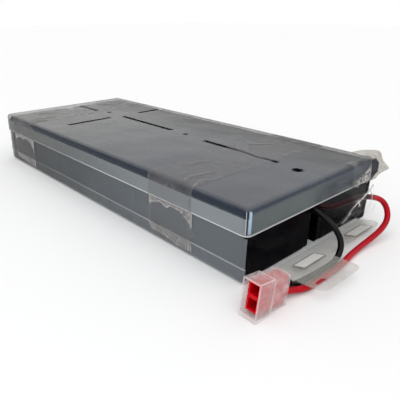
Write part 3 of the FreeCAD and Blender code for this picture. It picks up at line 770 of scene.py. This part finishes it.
def pointOnLine(line, lengths, share):
    # the point at a share of the line's length, and the direction out of the shells there
    target = share * lengths[-1]
    for index in range(len(line) - 1):
        if target <= lengths[index + 1] or index == len(line) - 2:
            part = (target - lengths[index]) / (lengths[index + 1] - lengths[index])
            before, after = line[index], line[index + 1]
            run = (after[0] - before[0], after[1] - before[1])
            size = math.hypot(*run)
            spot = (before[0] + run[0] * part, before[1] + run[1] * part)
            return spot, (-run[1] / size, run[0] / size)


def heightAt(points, across):
    for (before, low), (after, high) in zip(points, points[1:]):
        if across <= after:
            return low + (high - low) * max(0, across - before) / (after - before)
    return points[-1][1]


def lineMark(value, middleAndWidth):
    middle, width = middleAndWidth
    return bell(value - middle, width)


def makeTape(name, cadName, paint, settings):
    line, lengths = tapeLine(settings)
    middle = settings[name]["middle"]
    seed = settings[name]["seed"]
    sideTop, sideFade = settings["sideFrom"]

    def spotOf(u, v):
        (y, z), out = pointOnLine(line, lengths, v)
        away = (u - 0.5) * settings["width"]
        x = middle + away + settings["waver"] * noise.noise(Vector((v * 9, seed, u * 0.2)))
        side = clamp((sideTop - z) / sideFade)
        # strips of adhesive with a torn lower edge
        ragged = settings["ragged"] * noise.noise(Vector((x * 0.5, seed, 1.7 if y < 0 else 9.2)))
        above = z - heightAt(settings["upperFoot"], away) - ragged
        beneath = z - heightAt(settings["lowerFoot"], away) - ragged
        upper = clamp(above) * clamp((settings["upperTop"] - z) / settings["topFade"])
        upper *= 0.6 + 0.4 * bell(above - 1, 1.2)
        lower = clamp(beneath) * clamp((settings["lowerTop"] - z) / settings["topFade"])
        lower *= 0.6 + 0.3 * bell(beneath - 1, 1.0)
        # puckers, curls and creases
        pucker = ridged((x, z), (0.16, 0.10), seed + 5, 3)
        curl = ridged((x, z), (0.40, 0.26), seed + 2, 6)
        curl *= lineMark(z, settings["curlHeight"]) * lineMark(away, settings["curl"])
        edges = lineMark(away, settings["leftEdge"]) + lineMark(away, settings["rightEdge"])
        edges += 0.7 * lineMark(away, settings["innerLine"]) * side
        edges += 0.6 * lineMark(away, settings["wrinkle"]) * lineMark(z, settings["wrinkleHeight"])
        top = nearest((away, y), settings["topCreases"], settings["creaseWidth"]) * (1 - side)
        long = ridged((x, y), (0.05, 0.014), seed, 8) * (1 - side)
        fold = (upper * (0.85 + 0.3 * pucker) + lower * (0.75 + 0.3 * pucker)) * side
        fold = min(1, fold + 0.8 * curl + 0.45 * edges * (0.35 + 0.65 * side) + 0.55 * top + 0.06 * long)
        lift = settings["gap"] + (0.6 * pucker * (upper + lower) + 0.4 * curl) * side
        lift += 0.9 * top + 0.12 * long
        return (x, y + out[0] * lift, z + out[1] * lift), fold

    tape = sheetMesh(name, settings, spotOf, paint)
    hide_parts(cadName)
    flat = (settings["width"] * mm, lengths[-1] * mm)


tapeClear = clearPaint("tapeClear", tapeSettings)
makeTape("tapeFront", "tape_front", tapeClear, tapeSettings)
makeTape("tapeRear", "tape_rear", tapeClear, tapeSettings)
print("tapes laid")


filmSettings = {
    "colour": (0.40, 0.39, 0.37, 1), "creaseColour": (0.74, 0.72, 0.67, 1), "veil": 0.015, "creaseVeil": 0.90,
    "roughness": 0.26,
    # millimetres, round the lid's outline: its front, half width, top, edge radius and corner radius
    "corner": 231.5, "half": 104.0, "top": 69.0, "radius": 5.0, "upright": 6.0,
    "start": -111, "onTop": 10, "foot": 46, "frontTo": 56, "gap": 0.55, "thickness": 0.12, "seed": 5.7,
    "columns": 260, "rows": 60, "flatDrop": 18,
    # the plain stretch takes this share of the columns and ends this far before the corner
    "plainShare": 0.45, "plainShort": 12,
    # below this height on the front the film is crumpled, and from this much higher at the corner
    "crumpleTop": 54, "cornerRise": 13, "crumpleFade": 5, "crumpleGain": 1.25, "footDepth": 5,
}


def makeFilm(paint, settings):
    half, front, top = settings["half"], settings["corner"], settings["top"]
    radius, upright = settings["radius"], settings["upright"]
    seed = settings["seed"]
    straight = front - upright - settings["start"]
    bend = upright * math.pi / 2
    across = half - upright - settings["frontTo"]
    whole = straight + bend + across
    plain = straight - settings["plainShort"]
    curve = radius * math.pi / 2

    def lengthwise(along):
        # point on the lid's outline and the direction out of it, along the far edge and round the corner
        if along < straight:
            return (settings["start"] + along, half), (0, 1)
        if along < straight + bend:
            angle = math.pi / 2 - (along - straight) / upright
            out = (math.cos(angle), math.sin(angle))
            return (front - upright + upright * out[0], half - upright + upright * out[1]), out
        return (front, half - upright - (along - straight - bend)), (1, 0)

    def crosswise(travel, inward):
        # distance back from the outline, height and lean, from the lid's top over the edge and down
        if travel < inward:
            return radius + inward - travel, top, (0, 1)
        if travel < inward + curve:
            angle = (travel - inward) / radius
            lean = (math.sin(angle), math.cos(angle))
            return radius * (1 - lean[0]), top - radius * (1 - lean[1]), lean
        return 0, top - radius - (travel - inward - curve), (1, 0)

    def spotOf(u, v):
        share = settings["plainShare"]
        along = u / share * plain if u < share else plain + (u - share) / (1 - share) * (whole - plain)
        base, out = lengthwise(along)
        inward = settings["onTop"] * (1 if along < straight else 0.3)
        inward += 2.0 * noise.noise(Vector((along * 0.035, 1.0, seed)))
        drop = top - radius - settings["foot"] + 1.5 * noise.noise(Vector((along * 0.05, 7.0, 0)))
        if along > straight + bend:
            drop += settings["footDepth"] * abs(noise.noise(Vector((along * 0.14, 3.0, 0))))
        travel = v * (inward + curve + drop)
        back, height, lean = crosswise(travel, inward)
        # waves all along, crumples on the front and round the corner
        loose = 0.4 + 1.6 * max(0, (along - straight + 25) / (across + 40))
        wave = ridged((along, travel), (0.06, 0.05), seed, 4)
        crumple = max(ridged((along + 0.4 * travel, travel), (0.16, 0.11), seed + 3, 7),
                      ridged((along, travel + 0.3 * along), (0.30, 0.22), seed + 8, 6),
                      ridged((along, travel - 0.5 * along), (0.36, 0.16), seed + 1, 6))
        nearCorner = clamp(1 - (along - straight - bend) / across)
        crumpleTop = settings["crumpleTop"] + settings["cornerRise"] * nearCorner ** 2
        crumple = min(1, settings["crumpleGain"] * crumple)
        crumple *= clamp((crumpleTop - height) / settings["crumpleFade"])
        hem = bell(travel, 1.0)
        lift = settings["gap"] + loose * (0.6 * wave + 0.5 * crumple) + 0.5 * hem * wave
        spot = (base[0] - out[0] * back + out[0] * lean[0] * lift,
                base[1] - out[1] * back + out[1] * lean[0] * lift, height + lean[1] * lift)
        onFront = clamp((along - straight - bend + 3) / 6) * clamp((whole - along) / 8)
        foot = 0.5 * onFront * bell(inward + curve + drop - travel, 0.8)
        fold = 0.30 * hem * (1 - onFront) + (0.06 + 0.94 * onFront) * crumple + 0.06 * wave * loose + foot
        return spot, min(1, fold)

    film = sheetMesh("wrapFilm", settings, spotOf, paint)
    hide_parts("wrap_film")


def alongCurve(points, share):
    # smooth curve through the points
    count = len(points) - 1
    reach = min(share * count, count - 1e-6)
    index = int(reach)
    t = reach - index
    around = [points[max(0, index - 1)], points[index], points[index + 1], points[min(count, index + 2)]]
    spot = []
    for a, b, c, d in zip(*around):
        spot.append(0.5 * (2 * b + (c - a) * t + (2 * a - 5 * b + 4 * c - d) * t * t
                           + (3 * b - a - 3 * c + d) * t ** 3))
    return Vector(spot)


hangSettings = {
    # edges of the hanging part, from the skirt over the red lead and down
    "left": [(232.4, 36, 50), (239, 33, 50), (247.5, 28, 49.8), (251, 24, 43.5), (248, 20, 33), (240, 16, 19)],
    "right": [(232.4, 101.5, 50), (241, 85, 47.5), (250, 68, 47.5), (256.5, 60, 42.5), (255, 64, 33),
              (245, 86, 15)],
    # creases as shares of its width and depth
    "creases": [[(0.97, 0.27), (0.71, 0.40), (0.43, 0.50), (0.14, 0.585), (0.08, 0.66)],
                [(0.22, 0.57), (0.30, 0.66)], [(0.80, 0.42), (0.78, 0.60)]], "creaseWidth": 0.018,
    "tongue": [(0.25, 0.555), (0.14, 0.60), (0.08, 0.68), (0.08, 0.76), (0.14, 0.85), (0.18, 0.93)],
    "tongueWidth": 0.040, "tongueShare": 0.62,
    # direction in which creases stand out, and the pattern's cells across and down
    "push": (0.85, -0.45, 0.25), "grain": (60, 70),
    "thickness": 0.12, "seed": 2.2, "columns": 120, "rows": 120, "flat": (0.056, 0.056),
}


def makeHang(paint, settings):
    def spotOf(u, v):
        spot = alongCurve(settings["left"], v).lerp(alongCurve(settings["right"], v), u)
        grain = (u * settings["grain"][0], v * settings["grain"][1])
        tongue = nearLine((u, v), settings["tongue"], settings["tongueWidth"])
        main = nearest((u, v), settings["creases"], settings["creaseWidth"])
        main = max(main, settings["tongueShare"] * tongue)
        crumple = ridged(grain, (0.09, 0.07), settings["seed"], 5)
        fine = ridged(grain, (0.22, 0.14), settings["seed"] + 4, 5)
        # lobes of doubled film hang from the skirt
        lobes = max(0, 1 - v / (0.10 + 0.12 * abs(noise.noise(Vector((u * 6, 0.3, 1.0))))))
        loose = min(1, v * 5)
        spot = spot + Vector(settings["push"]) * loose * (1.3 * main + 1.0 * crumple + 0.5 * fine)
        hem = bell(u, 0.012) + bell(1 - u, 0.02) + bell(1 - v, 0.015)
        below = clamp((v - 0.55) / 0.2)
        fold = 0.95 * main + 0.55 * lobes * (0.1 + fine)
        fold += (0.02 + 0.05 * below) * (crumple + fine) + 0.03 * hem
        return tuple(spot), min(1, fold)

    hang = sheetMesh("hangingFilm", settings, spotOf, paint)


flapSettings = {
    "colour": (0.40, 0.365, 0.32, 1), "creaseColour": (0.66, 0.62, 0.56, 1), "veil": 0.50, "creaseVeil": 0.92,
    "roughness": 0.30, "shade": (0.025, 0.028, 0.034, 1), "shadeVeil": 0.93,
    # crumpled corner of the film, standing out from the lid's far front corner
    "inner": [(208, 97, 69.9), (225.5, 97, 69.9), (232.3, 95, 64), (232.5, 95, 57), (232.5, 95, 50),
              (232.4, 96, 44)],
    "outer": [(214, 104.8, 72.0), (231.5, 107.5, 74.6), (235.5, 112, 64), (241.5, 115.5, 56.2),
              (237.0, 110.5, 51.5), (233.6, 104.5, 45.0)],
    "creases": [[(0.0, 0.30), (0.5, 0.42), (1.0, 0.60)], [(0.15, 0.05), (0.5, 0.3), (0.7, 0.62)],
                [(0.0, 0.75), (0.6, 0.66)]], "creaseWidth": 0.05,
    "push": (0.9, -0.3, 0.3), "grain": (20, 45),
    "thickness": 0.12, "seed": 6.6, "columns": 44, "rows": 80, "flat": (0.018, 0.044),
}


def makeFlap(paint, settings):
    def spotOf(u, v):
        spot = alongCurve(settings["inner"], v).lerp(alongCurve(settings["outer"], v), u)
        main = nearest((u, v), settings["creases"], settings["creaseWidth"])
        crumple = noise.noise(Vector((u * 2.6, v * 6, settings["seed"])))
        grain = (u * settings["grain"][0], v * settings["grain"][1])
        fine = ridged(grain, (0.16, 0.16), settings["seed"] + 4, 4)
        spot = spot + Vector(settings["push"]) * min(1, u * 3) * (1.8 * crumple + 1.2 * main)
        hem = bell(1 - u, 0.05)
        # painted shade on the inner part, where it lies against the lid's far corner
        dark = clamp((0.50 - u - 0.25 * max(0, v - 0.4)) / 0.10) * clamp((v - 0.24) / 0.10)
        return tuple(spot), min(1, 0.10 + 0.55 * main + 0.35 * fine + 0.3 * hem) * (1 - dark) - dark

    flap = sheetMesh("filmFlap", settings, spotOf, paint)


filmClear = clearPaint("filmClear", filmSettings)
makeFilm(filmClear, filmSettings)
makeHang(filmClear, hangSettings)
makeFlap(clearPaint("flapFilm", flapSettings), flapSettings)
print("film hung")
